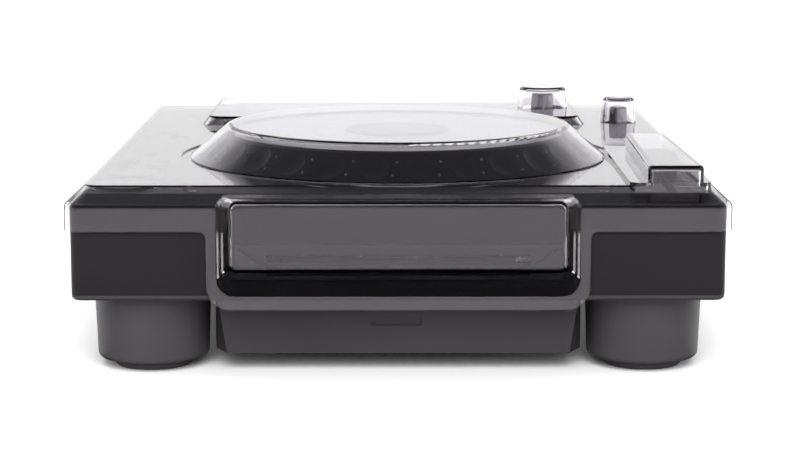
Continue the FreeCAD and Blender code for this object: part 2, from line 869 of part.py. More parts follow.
def display_panel():
    top = hood_top - window_thickness
    low = top - display_thickness
    screen = box(window_x0 + 4, window_x1 - 4, window_y0 + 4, window_y1 - 4, low, top)
    return screen


def board_with(x0, x1, y0, y1, under, spots, extra):
    level = board_level(under)
    plate = box(x0, x1, y0, y1, level - board_thickness, level)
    return fuse([plate] + switches(spots, under) + extra)


def control_boards():
    left = [(x, y) for name, x, y, r in round_buttons() if x < 0]
    right = [(x, y) for name, x, y, r in round_buttons() if x > 0]
    right += [(x, y) for name, x, y, half_x, half_y in key_buttons()]
    hood = [(x, y) for name, x, y, half_x, half_y in hood_buttons()]
    low = board_level(deck_under)
    speed_body = box(speed_x - 6, speed_x + 6, speed_y - 6, speed_y + 6, low, low + 3.5)
    pivot = lever_bracket()
    edge = half_w - board_side_gap
    left_posts = standoffs(left_column_x + 14, (-107, 5, 66))
    left_board = board_with(-edge, left_column_x + board_reach, -174, 70, deck_under, left,
                            [pivot] + left_posts)
    left_board = left_board.cut(box(left_column_x - lever_half_x - 0.4, left_column_x + lever_half_x + 0.4,
                                    reverse_y - 3.4, reverse_y + 3.4, low - 10, low + 1))
    right_posts = standoffs(right_column_x - 14, (-43, 20, 104, 166))
    right_board = board_with(right_column_x - board_reach - 1, edge, -46, 172, deck_under, right,
                             [speed_body] + right_posts)
    hood_low = board_level(hood_under)
    selector_body = box(selector_x - 7, selector_x + 7, selector_y - 7, selector_y + 7, hood_low,
                        hood_low + 4)
    hood_edge = hood_half - 4.5
    front_strip = board_with(1 - hood_edge, hood_edge, hood_front + 4.5, window_y0 - 0.5, hood_under, hood, [])
    side_strip = box(window_x1 + 2.5, hood_edge, window_y0 - 1, window_y1 - 2,
                     hood_low - board_thickness, hood_low)
    hood_board = fuse([front_strip, side_strip, selector_body])
    boards = [left_board, right_board, hood_board]
    boards[1] = boards[1].cut(cylinder(shaft_radius + 0.3, low - 5, low + 5, speed_x, speed_y))
    boards[2] = boards[2].cut(cylinder(shaft_radius + 0.3, hood_low - 5, hood_low + 6, selector_x, selector_y))
    return Part.makeCompound(boards)


def lever_bracket():
    """Two cheeks beside the reverse lever, which carry its pin."""
    low = board_level(deck_under)
    cheeks = []
    for sign in (-1, 1):
        x = left_column_x + sign * (lever_half_x + 1.6)
        cheek = box(x - 1, x + 1, reverse_y - 4, reverse_y + 4, low - board_thickness, deck_under - 0.5)
        bore = cylinder_along("x", lever_pin_radius + shaft_fit, vec(x - 2, reverse_y, lever_pivot_z), 4)
        cheeks.append(cheek.cut(bore))
    plate = box(left_column_x - 8, left_column_x + 8, reverse_y - 8, reverse_y + 8,
                low - board_thickness, low)
    bore_start = vec(left_column_x - 9, reverse_y, lever_pivot_z)
    bore = cylinder_along("x", lever_pin_radius + shaft_fit, bore_start, 18)
    return fuse(cheeks + [plate.cut(bore)])


def reverse_lever():
    height = lever_top - lever_pivot_z
    paddle = box(left_column_x - lever_half_x, left_column_x + lever_half_x, reverse_y - lever_half_y,
                 reverse_y + lever_half_y, lever_pivot_z - 2, lever_pivot_z + height)
    top = [e for e in paddle.Edges if abs(e.BoundBox.ZMin - lever_top) < 0.01]
    paddle = paddle.makeFillet(1.2, top)
    pin_half = lever_half_x + 2.0
    pin = cylinder_along("x", lever_pin_radius, vec(left_column_x - pin_half, reverse_y, lever_pivot_z),
                         2 * pin_half)
    return fuse([paddle, pin])


# Jog wheel

def jog_ring():
    """Turned ring with a sloped outside that carries a row of finger dimples."""
    skirt = (jog_skirt_radius, deck_top + jog_clearance)
    points = [(jog_skirt_radius - 8, deck_top + jog_clearance), skirt, (jog_skirt_radius, jog_skirt_z),
              (jog_rim_radius + 0.8, jog_rim_z - 0.1), (jog_rim_radius - 1.2, jog_top),
              (plate_radius + 0.2, jog_top), (plate_radius + 0.2, plate_top - plate_thickness),
              (plate_radius - 4, plate_top - plate_thickness),
              (plate_radius - 4, plate_top - plate_thickness - 2.4),
              (jog_rim_radius - 2.0, plate_top - plate_thickness - 2.4)]
    edges = [line(a, b) for a, b in zip(points, points[1:])]
    edges.append(line(points[-1], points[0]))
    ring = revolve(edges, 0, jog_y)
    run = jog_skirt_radius - jog_rim_radius
    rise = jog_rim_z - jog_skirt_z
    length = math.hypot(run, rise)
    mid_r = (jog_skirt_radius + jog_rim_radius) / 2
    mid_z = (jog_skirt_z + jog_rim_z) / 2
    ball = (dimple_radius ** 2 + dimple_depth ** 2) / (2 * dimple_depth)
    lift = ball - dimple_depth
    center_r = mid_r + lift * rise / length
    center_z = mid_z + lift * run / length
    balls = []
    for i in range(dimple_count):
        angle = math.radians(-90 + dimple_phase + 360.0 * i / dimple_count)
        balls.append(Part.makeSphere(ball, vec(center_r * math.cos(angle), jog_y + center_r * math.sin(angle),
                                               center_z)))
    return cut(ring, balls)


def jog_plate():
    under = plate_top - plate_thickness
    boss_inner = bearing_radius + bearing_fit
    disc = tube(plate_radius, center_display_radius + 0.6, under, plate_top, 0, jog_y)
    boss = tube(boss_inner + boss_wall, boss_inner, bearing_bottom, under, 0, jog_y)
    groove = tube(plate_radius - 6, plate_radius - 7, plate_top - 0.4, plate_top + 1, 0, jog_y)
    ridge = tube(45, 44, plate_top - 0.4, plate_top + 1, 0, jog_y)
    return fuse([disc, boss]).cut(groove).cut(ridge)


def gear_outline(teeth, radius_out, radius_in, thickness, phase):
    """Closed wire of straight-sided teeth, tip and root on their circles."""
    points = []
    pitch = 2 * math.pi / teeth
    tip = thickness * 0.5 * pitch
    root = (1 - thickness * 0.9) * pitch
    for i in range(teeth):
        middle = phase + i * pitch
        for radius, offset in ((radius_in, -root / 2), (radius_out, -tip / 2), (radius_out, tip / 2),
                               (radius_in, root / 2)):
            angle = middle + offset
            points.append((radius * math.cos(angle), radius * math.sin(angle)))
    return points


def gear_solid(teeth, phase, z0, z1, x, y):
    pitch_radius = gear_module * teeth / 2
    points = gear_outline(teeth, pitch_radius + 0.7 * gear_module, pitch_radius - 1.0 * gear_module,
                          0.5, phase)
    corners = [vec(x + px, y + py, z0) for px, py in points]
    return prism(corners, vec(0, 0, z1 - z0))


def encoder_center():
    distance = gear_module * (gear_teeth + encoder_teeth) / 2
    angle = math.radians(encoder_angle)
    return distance * math.cos(angle), jog_y + distance * math.sin(angle)


def jog_gear():
    angle = math.radians(encoder_angle)
    wheel = gear_solid(gear_teeth, angle, gear_bottom, gear_bottom + gear_height, 0, jog_y)
    inner = bearing_radius + bearing_fit + boss_wall
    web = tube(inner + 5, inner, gear_bottom, plate_top - plate_thickness, 0, jog_y)
    return fuse([wheel, web]).cut(cylinder(inner, gear_bottom - 1, plate_top, 0, jog_y))


def encoder_gear():
    x, y = encoder_center()
    facing = math.radians(encoder_angle) + math.pi
    phase = facing + math.pi / encoder_teeth
    wheel = gear_solid(encoder_teeth, phase, gear_bottom, gear_bottom + gear_height, x, y)
    shaft = cylinder(1.5, deck_top + 1.0, gear_bottom + gear_height + 1, x, y)
    return fuse([wheel, shaft])


def encoder_sensor():
    x, y = encoder_center()
    body = box(x - 7, x + 7, y - 7, y + 7, deck_top, gear_bottom - 1.0)
    return body.cut(cylinder(1.5 + shaft_fit, deck_top - 1, gear_bottom, x, y)).makeFillet(
        0.8, [e for e in body.Edges if e.BoundBox.ZLength > 3])


def jog_hub():
    flange = cylinder(hub_flange_radius, deck_under - 2.5, deck_under, 0, jog_y)
    post = cylinder(hub_radius, deck_under - 2.5, plate_top - 1.4, 0, jog_y)
    ledge = cylinder(hub_radius + 4, deck_under, bearing_bottom, 0, jog_y)
    bore = cylinder(hub_radius - hub_wall, deck_under - 4, plate_top, 0, jog_y)
    return fuse([flange, post, ledge]).cut(bore)


def jog_bearing():
    top = plate_top - plate_thickness - 0.3
    race = tube(bearing_radius, hub_radius, bearing_bottom, top, 0, jog_y)
    groove = tube(hub_radius + 4.2, hub_radius + 1.8, top - 0.8, top + 1, 0, jog_y)
    return race.cut(groove)


def jog_display():
    low = plate_top - 1.4
    puck = cylinder(center_display_radius, low, jog_top, 0, jog_y)
    puck = puck.makeChamfer(0.5, edges_at_z(puck, jog_top))
    return puck.cut(tube(22.5, 21.9, jog_top - 0.3, jog_top + 1, 0, jog_y))


# Knobs and slider

def knob(x, y, radius, low, top, ribs, boss_low):
    """Ribbed knob on a plain shaft that passes down through the deck."""
    body = cone(radius, radius - 0.5, low, top, x, y)
    body = body.makeChamfer(0.6, edges_at_z(body, top))
    cuts = []
    for i in range(ribs):
        angle = 2 * math.pi * i / ribs
        cuts.append(cylinder(0.6, low + 1.5, top + 1, x + (radius + 0.1) * math.cos(angle),
                             y + (radius + 0.1) * math.sin(angle)))
    shaft = cylinder(shaft_radius, boss_low, low + 1, x, y)
    return fuse([cut(body, cuts), shaft])


def selector_knob():
    return knob(selector_x, selector_y, selector_radius, hood_top + knob_gap, selector_top, 14,
                board_level(hood_under) - 1)


def speed_knob():
    body = knob(speed_x, speed_y, speed_radius, deck_top + knob_gap, speed_top, 10,
                board_level(deck_under) - 1)
    mark = box(speed_x - 0.35, speed_x + 0.35, speed_y - speed_radius, speed_y - 1, speed_top - 0.3,
               speed_top + 1)
    return body.cut(mark)


def tempo_slider():
    low = deck_top + knob_gap
    cap = box(slider_x - slider_cap_half_x, slider_x + slider_cap_half_x, slider_y - slider_cap_half_y,
              slider_y + slider_cap_half_y, low, slider_cap_top)
    edges = [e for e in cap.Edges if e.BoundBox.ZMin > low + 1 or e.BoundBox.ZLength > 3]
    cap = cap.makeFillet(1.0, edges)
    saddle = cylinder_along("x", 9.0, vec(slider_x - 20, slider_y, slider_cap_top + 8.0), 40)
    line_groove = box(slider_x - 20, slider_x + 20, slider_y - 0.4, slider_y + 0.4, slider_cap_top - 1.5,
                      slider_cap_top + 1)
    stem = box(slider_x - slider_stem_half, slider_x + slider_stem_half, slider_y - 2.2, slider_y + 2.2,
               slider_rail_top() + fit_gap, low + 1)
    return fuse([cut(cap, [saddle, line_groove]), stem])


def slider_rail_top():
    return deck_under - 8.0


def slider_unit():
    """Fader body below the deck, a long trough that the stem runs in."""
    reach = slider_travel + 9
    top = deck_under
    body = box(slider_x - 6.5, slider_x + 6.5, slider_y - reach, slider_y + reach, top - 13, top)
    trough = box(slider_x - slider_slot_half, slider_x + slider_slot_half,
                 slider_y - slider_travel - 3, slider_y + slider_travel + 3, slider_rail_top(), top + 1)
    return body.cut(trough)


# Disc drive

def drive_frame():
    x = frame_half
    plate = box(-x, x, frame_front, frame_rear, frame_z, frame_z + frame_thickness)
    sled_gap = box(-sled_half - 1.5, screw_x + 4, sled_inner_y - sled_length / 2 - 4,
                   sled_inner_y + sled_travel + sled_length / 2 + 4, frame_z - 1, frame_z + 3)
    motor_gap = cylinder(motor_radius - 3, frame_z - 1, frame_z + 3, 0, spindle_y)
    plate = cut(plate, [sled_gap, motor_gap])
    cheeks = []
    for sign in (-1, 1):
        side = box(sign * x - 1.2 * (sign > 0), sign * x + 1.2 * (sign < 0), frame_front - 14, frame_rear,
                   frame_z, clamp_pivot_z + 5)
        notch = box(sign * x - 3, sign * x + 3, -150, -30, disc_plane - 4, clamp_pivot_z + 6)
        bore = cylinder_along("x", 2.0 + shaft_fit, vec(sign * x - 3, clamp_pivot_y, clamp_pivot_z), 6)
        roller = cylinder_along("x", 1.5 + shaft_fit, vec(sign * x - 3, roller_y, roller_z()), 6)
        cheeks.append(cut(side, [notch, bore, roller]))
    stands = []
    for sign in (-1, 1):
        for y in (rod_front(), rod_rear()):
            stands.append(box(sign * rod_x - 2.5, sign * rod_x + 2.5, y - 1.5, y + 1.5, frame_z,
                              rod_z() + 2.5))
    for y in (rod_front(), rod_rear()):
        stands.append(box(screw_x - 3, screw_x + 3, y - 1.5, y + 1.5, frame_z, rod_z() + 3))
    bores = [cylinder_along("y", rod_radius, vec(sign * rod_x, rod_front() - 5, rod_z()), 100)
             for sign in (-1, 1)]
    bores.append(cylinder_along("y", rod_radius + shaft_fit, vec(screw_x, rod_front() - 5, rod_z()), 100))
    rails = [cut(stand, bores) for stand in stands]
    return fuse([plate] + cheeks + rails)


def roller_z():
    return disc_plane - 0.9 - roller_radius


def rod_z():
    return frame_z + frame_thickness + 4.0


def rod_front():
    return sled_inner_y - sled_length / 2 - 6.5


def rod_rear():
    return sled_inner_y + sled_travel + sled_length / 2 + 6.5


def drive_dampers():
    pieces = []
    for sign in (-1, 1):
        for y in (frame_front + 14, frame_rear - 14):
            x = sign * (frame_half - 6)
            low = frame_z - damper_height()
            body = tube(damper_radius, 2.0, low, frame_z, x, y)
            waist = tube(damper_radius + 1, damper_radius - 1.2, low + 1.6, frame_z - 1.6, x, y)
            pieces.append(body.cut(waist))
    return Part.makeCompound(pieces)


def spindle_motor():
    can = cylinder(motor_radius, frame_z - 6, frame_z, 0, spindle_y)
    can = can.makeChamfer(0.8, edges_at_z(can, frame_z - 6))
    neck = cylinder(4.0, frame_z, turntable_low() - 0.3, 0, spindle_y)
    bore = cylinder(1.0 + shaft_fit, frame_z - 4, turntable_low(), 0, spindle_y)
    return fuse([can, neck]).cut(bore)


def turntable_low():
    return disc_plane - 0.6 - turntable_height


def turntable():
    disc = cylinder(turntable_radius, turntable_low(), disc_plane - 0.6, 0, spindle_y)
    boss = cone(spindle_boss_radius, spindle_boss_radius - 1.5, disc_plane - 0.6, disc_plane + 1.6, 0,
                spindle_y)
    shaft = cylinder(1.0, frame_z - 3.5, turntable_low() + 0.5, 0, spindle_y)
    return fuse([disc, boss, shaft])


def laser_pickup():
    y0 = sled_inner_y - sled_length / 2
    y1 = sled_inner_y + sled_length / 2
    body = box(-sled_half, sled_half, y0, y1, frame_z - 1.5, rod_z() + 3)
    arm = box(sled_half - 1, screw_x - rod_radius - 0.1, sled_inner_y - 3, sled_inner_y + 3, rod_z() - 1.5,
              rod_z() + 1.5)
    lens = cylinder(4.0, rod_z() + 3, rod_z() + 4.2, 0, sled_inner_y)
    bores = [cylinder_along("y", rod_radius + shaft_fit, vec(sign * rod_x, y0 - 1, rod_z()), sled_length + 2)
             for sign in (-1, 1)]
    return cut(fuse([body, arm, lens]), bores)


def guide_rods():
    rods = [cylinder_along("y", rod_radius, vec(sign * rod_x, rod_front() - 2.5, rod_z()),
                           rod_rear() - rod_front() + 5) for sign in (-1, 1)]
    return Part.makeCompound(rods)


def lead_screw():
    length = rod_rear() - rod_front() + 6
    core = cylinder_along("y", rod_radius, vec(screw_x, rod_front() - 2.5, rod_z()), length)
    grooves = [cylinder_along("y", rod_radius + 1, vec(screw_x, y, rod_z()), 0.5).cut(
        cylinder_along("y", rod_radius - 0.3, vec(screw_x, y - 1, rod_z()), 3))
        for y in [rod_front() + 4 + 6.0 * i for i in range(6)]]
    return cut(core, grooves)


def sled_motor():
    y0 = rod_rear() + 4.2
    can = cylinder_along("y", 3.9, vec(screw_x, y0, rod_z()), 16)
    foot = box(screw_x - 3.9, screw_x + 3.9, y0 + 2, y0 + 14, frame_z + frame_thickness, rod_z())
    return fuse([can, foot])


def loading_roller():
    rubber = cylinder_along("x", roller_radius, vec(-roller_half, roller_y, roller_z()), 2 * roller_half)
    pin = cylinder_along("x", 1.5, vec(-frame_half - 0.8, roller_y, roller_z()), 2 * frame_half + 1.6)
    waist = cylinder_along("x", roller_radius + 1, vec(-20, roller_y, roller_z()), 40)
    core = cylinder_along("x", roller_radius - 0.8, vec(-21, roller_y, roller_z()), 42)
    return fuse([rubber.cut(waist), core, pin])


def drive_motors():
    return Part.makeCompound([sled_motor(), loading_motor()])


def loading_motor():
    y = frame_front + 6
    x = frame_half - 12
    z = frame_z + frame_thickness
    can = cylinder_along("x", 5.0, vec(x - 16, y, z + 5.0), 20)
    foot = box(x - 14, x + 2, y - 4, y + 4, z, z + 4)
    shaft = cylinder_along("x", 0.8, vec(x + 3, y, z + 5.0), 6)
    return fuse([can, foot, shaft])


def clamp_arm():
    """Arm over the disc, hinged at the back, with the clamping disc at its front end."""
    z0 = clamp_pivot_z - 2
    pin = cylinder_along("x", 2.0, vec(-frame_half - 0.8, clamp_pivot_y, clamp_pivot_z),
                         2 * frame_half + 1.6)
    plate = box(-26, 26, spindle_y, clamp_pivot_y, z0, z0 + 1.6)
    nose = cylinder(26, z0, z0 + 1.6, 0, spindle_y)
    tube_half = frame_half - 4
    barrel = cylinder_along("x", 3.2, vec(-tube_half, clamp_pivot_y, clamp_pivot_z), 2 * tube_half)
    puck = cylinder(clamp_radius, disc_plane + 2.2, z0, 0, spindle_y)
    hollow = cylinder(spindle_boss_radius + 1, disc_plane + 1.0, disc_plane + 4.2, 0, spindle_y)
    window = rounded_box(-14, 14, spindle_y + 30, clamp_pivot_y - 14, z0 - 1, z0 + 3, 5)
    return fuse([plate, nose, puck, barrel, pin]).cut(hollow).cut(window)


# Boards, power and sockets

def main_board():
    level = belly_bottom + case_wall + 3.0
    half = belly_bottom_half - 11.3
    board = box(-half, half, -150, 86, level, level + board_thickness)
    stands = [cylinder(3, belly_bottom + case_wall, level, x, y)
              for x in (6 - half, half - 6) for y in (-142, 12, 80)]
    top = level + board_thickness
    chips = [box(-16, 16, 30, 62, top, top + 2.2), box(28, 44, 32, 46, top, top + 1.6),
             box(-50, -34, 30, 50, top, top + 1.6), box(-52, -22, -20, 4, top, top + 6)]
    cans = [cylinder(4, top, top + 9, x, 74) for x in (10 - half, 22 - half, half - 30, half - 18)]
    holes = []
    for sign in (-1, 1):
        for y in (frame_front + 14, frame_rear - 14):
            x = sign * (frame_half - 6)
            holes.append(box(x - 9, x + 9, y - 9, y + 9, level - 1, top + 1))
    return fuse([board.cut(fuse(holes))] + stands + chips + cans)


def power_supply():
    low = case_bottom + pan_thickness
    level = low + 5
    left = -half_w + 6.5
    board = box(left, left + supply_width, 40, 160, level, level + board_thickness)
    stands = [cylinder(3, low, level, x, y) for x in (left + 5, left + supply_width - 5) for y in (46, 154)]
    top = level + board_thickness
    parts = [box(left + 10, left + 34, 70, 96, top, top + 20), cylinder(9, top, top + 22, left + 20, 118),
             cylinder(6, top, top + 16, left + 40, 124), box(left + 4, left + 7, 66, 130, top, top + 22),
             box(left + 36, left + 46, 56, 66, top, top + 9)]
    return fuse([board] + stands + parts)


def rear_hole(x, z, half_x, half_z):
    return box(x - half_x, x + half_x, half_d - 30, half_d + 5, z - half_z, z + half_z)


def jack_spots():
    return [(jack_x0 + i * jack_pitch, inlet_z) for i in range(jack_count)]


def rear_panel():
    gap = fit_gap
    plate = box(-half_w + 8 + gap, half_w - 8 - gap, half_d - case_wall, half_d - 0.3,
                case_bottom + pan_thickness, deck_under - 10 - gap)
    holes = [rear_hole(inlet_x, inlet_z, inlet_half_x + socket_wall, inlet_half_z + socket_wall),
             rear_hole(lan_x, inlet_z, lan_half_x + socket_wall, lan_half_z + socket_wall),
             rear_hole(data_x, inlet_z, data_half_x + socket_wall, data_half_z + socket_wall),
             cylinder_along("y", power_button_radius + gap, vec(power_button_x, half_d - 20, inlet_z), 30)]
    holes += [cylinder_along("y", jack_outer + 1.4, vec(x, half_d - 20, z), 30) for x, z in jack_spots()]
    return cut(plate, holes)


def socket_box(x, z, half_x, half_z, depth):
    wall = socket_wall
    outer = box(x - half_x - wall, x + half_x + wall, half_d - depth - wall, half_d, z - half_z - wall,
                z + half_z + wall)
    return outer.cut(box(x - half_x, x + half_x, half_d - depth, half_d + 1, z - half_z, z + half_z))


def mains_inlet():
    body = socket_box(inlet_x, inlet_z, inlet_half_x, inlet_half_z, inlet_depth)
    pins = [box(inlet_x + dx - 1.0, inlet_x + dx + 1.0, half_d - inlet_depth - 0.5, half_d - 4,
                inlet_z + dz - 2, inlet_z + dz + 2) for dx, dz in ((-7, -2), (0, 2.5), (7, -2))]
    return fuse([body] + pins)


def data_ports():
    lan = socket_box(lan_x, inlet_z, lan_half_x, lan_half_z, port_depth)
    usb = socket_box(data_x, inlet_z, data_half_x, data_half_z, port_depth)
    tongue = box(data_x - 2.8, data_x + 2.8, half_d - port_depth - 0.5, half_d - 3, inlet_z - 1.5,
                 inlet_z + 1.5)
    return [lan, fuse([usb, tongue])]


def audio_jacks():
    jacks = []
    for x, z in jack_spots():
        barrel = cylinder_along("y", jack_outer, vec(x, half_d - 12, z), 12 + jack_reach)
        collar = cylinder_along("y", jack_outer + 1.4, vec(x, half_d - 12, z), 12.0)
        bore = cylinder_along("y", jack_bore, vec(x, half_d - 8, z), 20)
        jacks.append(fuse([barrel, collar]).cut(bore))
    return jacks


def rear_sockets():
    return Part.makeCompound(audio_jacks() + data_ports())


def power_button():
    cap = cylinder_along("y", power_button_radius, vec(power_button_x, half_d - 8, inlet_z), 8 + 2.8)
    cap = cap.makeChamfer(0.5, [e for e in cap.Edges if e.BoundBox.YMin > half_d + 2])
    flange = cylinder_along("y", power_button_radius + 1.6,
                            vec(power_button_x, half_d - case_wall - fit_gap - 1.5, inlet_z), 1.5)
    return fuse([cap, flange])


def usb_port():
    x, y = usb_x, usb_y
    wall = socket_wall
    outer = box(x - usb_half_x - wall, x + usb_half_x + wall, y - usb_half_y - wall, y + usb_half_y + wall,
                deck_top - usb_depth - wall, deck_top)
    hollow = box(x - usb_half_x, x + usb_half_x, y - usb_half_y, y + usb_half_y, deck_top - usb_depth,
                 deck_top + 1)
    tongue = box(x - 5.6, x + 5.6, y + usb_half_y - 2.2, y + usb_half_y - 0.3, deck_top - usb_depth - 0.5,
                 deck_top - 3)
    return fuse([outer.cut(hollow), tongue])


def build():
    parts = {
        "dust_cover": dust_cover(), "base_pan": base_pan(), "case_shell": case_shell(),
        "deck_panel": deck_panel(), "rear_panel": rear_panel(), "slot_bezel": slot_bezel(),
        "feet": feet(), "foot_pads": foot_pads(), "case_screws": case_screws(),
        "display_hood": display_hood(), "display_window": display_window(),
        "display_panel": display_panel(), "jog_ring": jog_ring(), "jog_plate": jog_plate(),
        "jog_gear": jog_gear(), "jog_hub": jog_hub(), "jog_bearing": jog_bearing(),
        "jog_display": jog_display(), "encoder_gear": encoder_gear(),
        "encoder_sensor": encoder_sensor(), "selector_knob": selector_knob(),
        "speed_knob": speed_knob(), "tempo_slider": tempo_slider(), "slider_unit": slider_unit(),
        "reverse_lever": reverse_lever(), "usb_port": usb_port(), "control_boards": control_boards(),
        "main_board": main_board(), "power_supply": power_supply(), "mains_inlet": mains_inlet(),
        "power_button": power_button(), "rear_sockets": rear_sockets(),
        "drive_frame": drive_frame(), "drive_dampers": drive_dampers(),
        "spindle_motor": spindle_motor(), "turntable": turntable(), "laser_pickup": laser_pickup(),
        "guide_rods": guide_rods(), "lead_screw": lead_screw(), "drive_motors": drive_motors(),
        "loading_roller": loading_roller(), "clamp_arm": clamp_arm(),
    }
    for name, x, y, radius in round_buttons():
        parts[name] = round_button(x, y, radius)
    for name, x, y, half_x, half_y in key_buttons():
        parts[name] = key_button(x, y, half_x, half_y, deck_under, deck_top + button_proud)
    for name, x, y, half_x, half_y in hood_buttons():
        parts[name] = key_button(x, y, half_x, half_y, hood_under, hood_top + button_proud)
    return parts


os.makedirs("parts", exist_ok=True)
for node, shape in build().items():
    shape.translate(vec(0, -origin_y, 0))
    shape.exportStep("parts/" + node + ".step")
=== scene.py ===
import math

import bmesh
import bpy
from mathutils import Matrix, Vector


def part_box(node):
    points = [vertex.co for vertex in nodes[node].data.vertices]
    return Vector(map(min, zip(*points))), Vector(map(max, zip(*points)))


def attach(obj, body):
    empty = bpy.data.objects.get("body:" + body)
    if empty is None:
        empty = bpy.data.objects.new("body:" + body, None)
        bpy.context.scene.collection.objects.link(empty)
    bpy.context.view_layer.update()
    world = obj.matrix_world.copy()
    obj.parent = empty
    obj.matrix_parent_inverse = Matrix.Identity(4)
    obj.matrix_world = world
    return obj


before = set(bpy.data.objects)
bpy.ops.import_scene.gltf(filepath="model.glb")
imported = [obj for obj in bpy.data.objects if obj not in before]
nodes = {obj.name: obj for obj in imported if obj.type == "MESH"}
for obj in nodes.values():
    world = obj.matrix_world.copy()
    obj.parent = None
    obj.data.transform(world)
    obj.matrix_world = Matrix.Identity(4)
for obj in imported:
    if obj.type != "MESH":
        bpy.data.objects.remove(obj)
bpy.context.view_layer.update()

# A disc player under its clear dust cover. Metres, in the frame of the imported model.

# Camera, from a fit to points measured in the 800 by 466 photograph
CAMERA_PLACE = (-0.0029, -1.1903, 0.2354)
CAMERA_PITCH = 9.38
CAMERA_YAW = -0.21
FOCAL_PIXELS = 2200.0
PHOTO_WIDTH = 800.0
SENSOR_WIDTH = 36.0
NEAREST = 0.05
FARTHEST = 20.0

# The studio's brightness by height: sine of the angle above the horizon, and the ceiling's grey
WALL_TOP = 0.4
CEILING_START = 0.62
CEILING = 0.14
STUDIO_STRENGTH = 1.12

# Two soft lights, in degrees and watts per square metre
OVERHEAD_SPREAD = 60.0
OVERHEAD_POWER = 1.6
OVERHEAD_ANGLE = 90.0
FRONT_SPREAD = 45.0
FRONT_POWER = 4.2
FRONT_ANGLE = 35.0

# Pale floor, and the black card that lies on it as painted shade, seen only in reflections
FLOOR_HALF = 3.0
FLAG_HALF_WIDTH = 0.32
FLAG_NEAR = -0.33
FLAG_FAR = -0.15
FLAG_HEIGHT = 0.0004

# Jog ring: its sloped face and row of dimples, as in the CAD
DIMPLES = 28
DIMPLE_PHASE = 6.1
SKIRT_RADIUS = 0.1034
SKIRT_Z = 0.0879
RIM_RADIUS = 0.0892
RIM_Z = 0.1005
PIP_RADIUS = 0.0008
PIP_HIGH_SHARE = 0.28
PIP_LOW_SHARE = 0.72
PIP_LOW_TURN = -1.2

# Light rings in the deck
LIGHT_INNER = 0.0141
LIGHT_OUTER = 0.0156
LIGHT_SUNK = 0.0004
LIGHT_PROUD = 0.0002
LIGHT_CROWN = 0.12
LIGHT_STEPS = 72

# Play and pause sign
SIGN_HALF = 0.003
SIGN_LEFT = 0.0042
SIGN_TIP = 0.0006
PAUSE_LEFTS = (0.0016, 0.0036)
PAUSE_WIDTH = 0.0012
SIGN_SUNK = 0.0001
SIGN_PROUD = 0.00012

# Printed ticks beside the tempo slider
TICKS_EACH_WAY = 10
LONG_TICK_EVERY = 5
TICK_PITCH = 0.005
TICK_OFFSET = 0.0098
TICK_HALF = 0.00015
TICK_SHORT = 0.002
TICK_LONG = 0.0034
TICK_MIDDLE = 0.0048
TICK_SUNK = 0.0001
TICK_PROUD = 0.00006

# Screws in the rear panel: place from its edges, and radius and height along the head's side
SCREW_INSET = 0.006
SCREW_PROFILE = ((0.0030, -0.0003), (0.0030, 0.0004), (0.0024, 0.0010), (0.0012, 0.0013))
SCREW_STEPS = 24

# Finishes: scales of their noise per metre, and how far tone and roughness vary
TONE_SCALE = 9.0
TONE_START = 0.3
TONE_END = 0.7
TONE_VARIATION = 0.12
ROUGHNESS_SCALE = 60.0
GRAIN_SCALE = 3000.0
GRAIN_HEIGHT = 0.00003
NOISE_ROUGHNESS = 0.6
HAZE_SCALE = 25.0
METAL_TONE_SCALE = 40.0
METAL_ROUGHNESS_SCALE = 300.0
RING_SCALE = 160.0
RING_WOBBLE = 1.5
RING_HEIGHT = 0.00002

# Clear sheet: how it bends light, and the tint and haze of its polish
COVER_IOR = 1.48
COVER_SHEEN = (0.96, 0.92, 1.0, 1.0)
COVER_ROUGHNESS = 0.02


def link(obj):
    bpy.context.scene.collection.objects.link(obj)
    return obj


def place_camera():
    data = bpy.data.cameras.new("camera")
    data.sensor_width = SENSOR_WIDTH
    data.lens = FOCAL_PIXELS * SENSOR_WIDTH / PHOTO_WIDTH
    data.clip_start = NEAREST
    data.clip_end = FARTHEST
    camera = link(bpy.data.objects.new("camera", data))
    camera.location = CAMERA_PLACE
    camera.rotation_euler = (math.radians(90.0 - CAMERA_PITCH), 0.0, math.radians(CAMERA_YAW))
    bpy.context.scene.camera = camera


# Light: white walls, a dark ceiling, a wide soft light straight overhead and another from the front

def light_studio():
    world = bpy.data.worlds.new("studio")
    world.use_nodes = True
    tree = world.node_tree
    background = tree.nodes["Background"]
    coordinates = tree.nodes.new("ShaderNodeTexCoord")
    parts = tree.nodes.new("ShaderNodeSeparateXYZ")
    shade = tree.nodes.new("ShaderNodeValToRGB")
    wall, ceiling = shade.color_ramp.elements
    wall.position, wall.color = WALL_TOP, (1.0, 1.0, 1.0, 1.0)
    ceiling.position, ceiling.color = CEILING_START, (CEILING, CEILING, CEILING, 1.0)
    tree.links.new(coordinates.outputs["Generated"], parts.inputs["Vector"])
    tree.links.new(parts.outputs["Z"], shade.inputs["Fac"])
    tree.links.new(shade.outputs["Color"], background.inputs["Color"])
    background.inputs["Strength"].default_value = STUDIO_STRENGTH
    bpy.context.scene.world = world
    bpy.context.scene.view_settings.view_transform = "Standard"
    add_soft_light("overhead", OVERHEAD_SPREAD, OVERHEAD_POWER, OVERHEAD_ANGLE)
    add_soft_light("front", FRONT_SPREAD, FRONT_POWER, FRONT_ANGLE)


def add_soft_light(name, spread, power, angle):
    """Wide light from an angle above the horizon in front, hidden from reflections and clear parts."""
    data = bpy.data.lights.new(name, "SUN")
    data.angle = math.radians(spread)
    data.energy = power
    lamp = link(bpy.data.objects.new(name, data))
    lamp.rotation_euler = (math.radians(90.0 - angle), 0.0, 0.0)
    lamp.visible_glossy = False
    lamp.visible_transmission = False


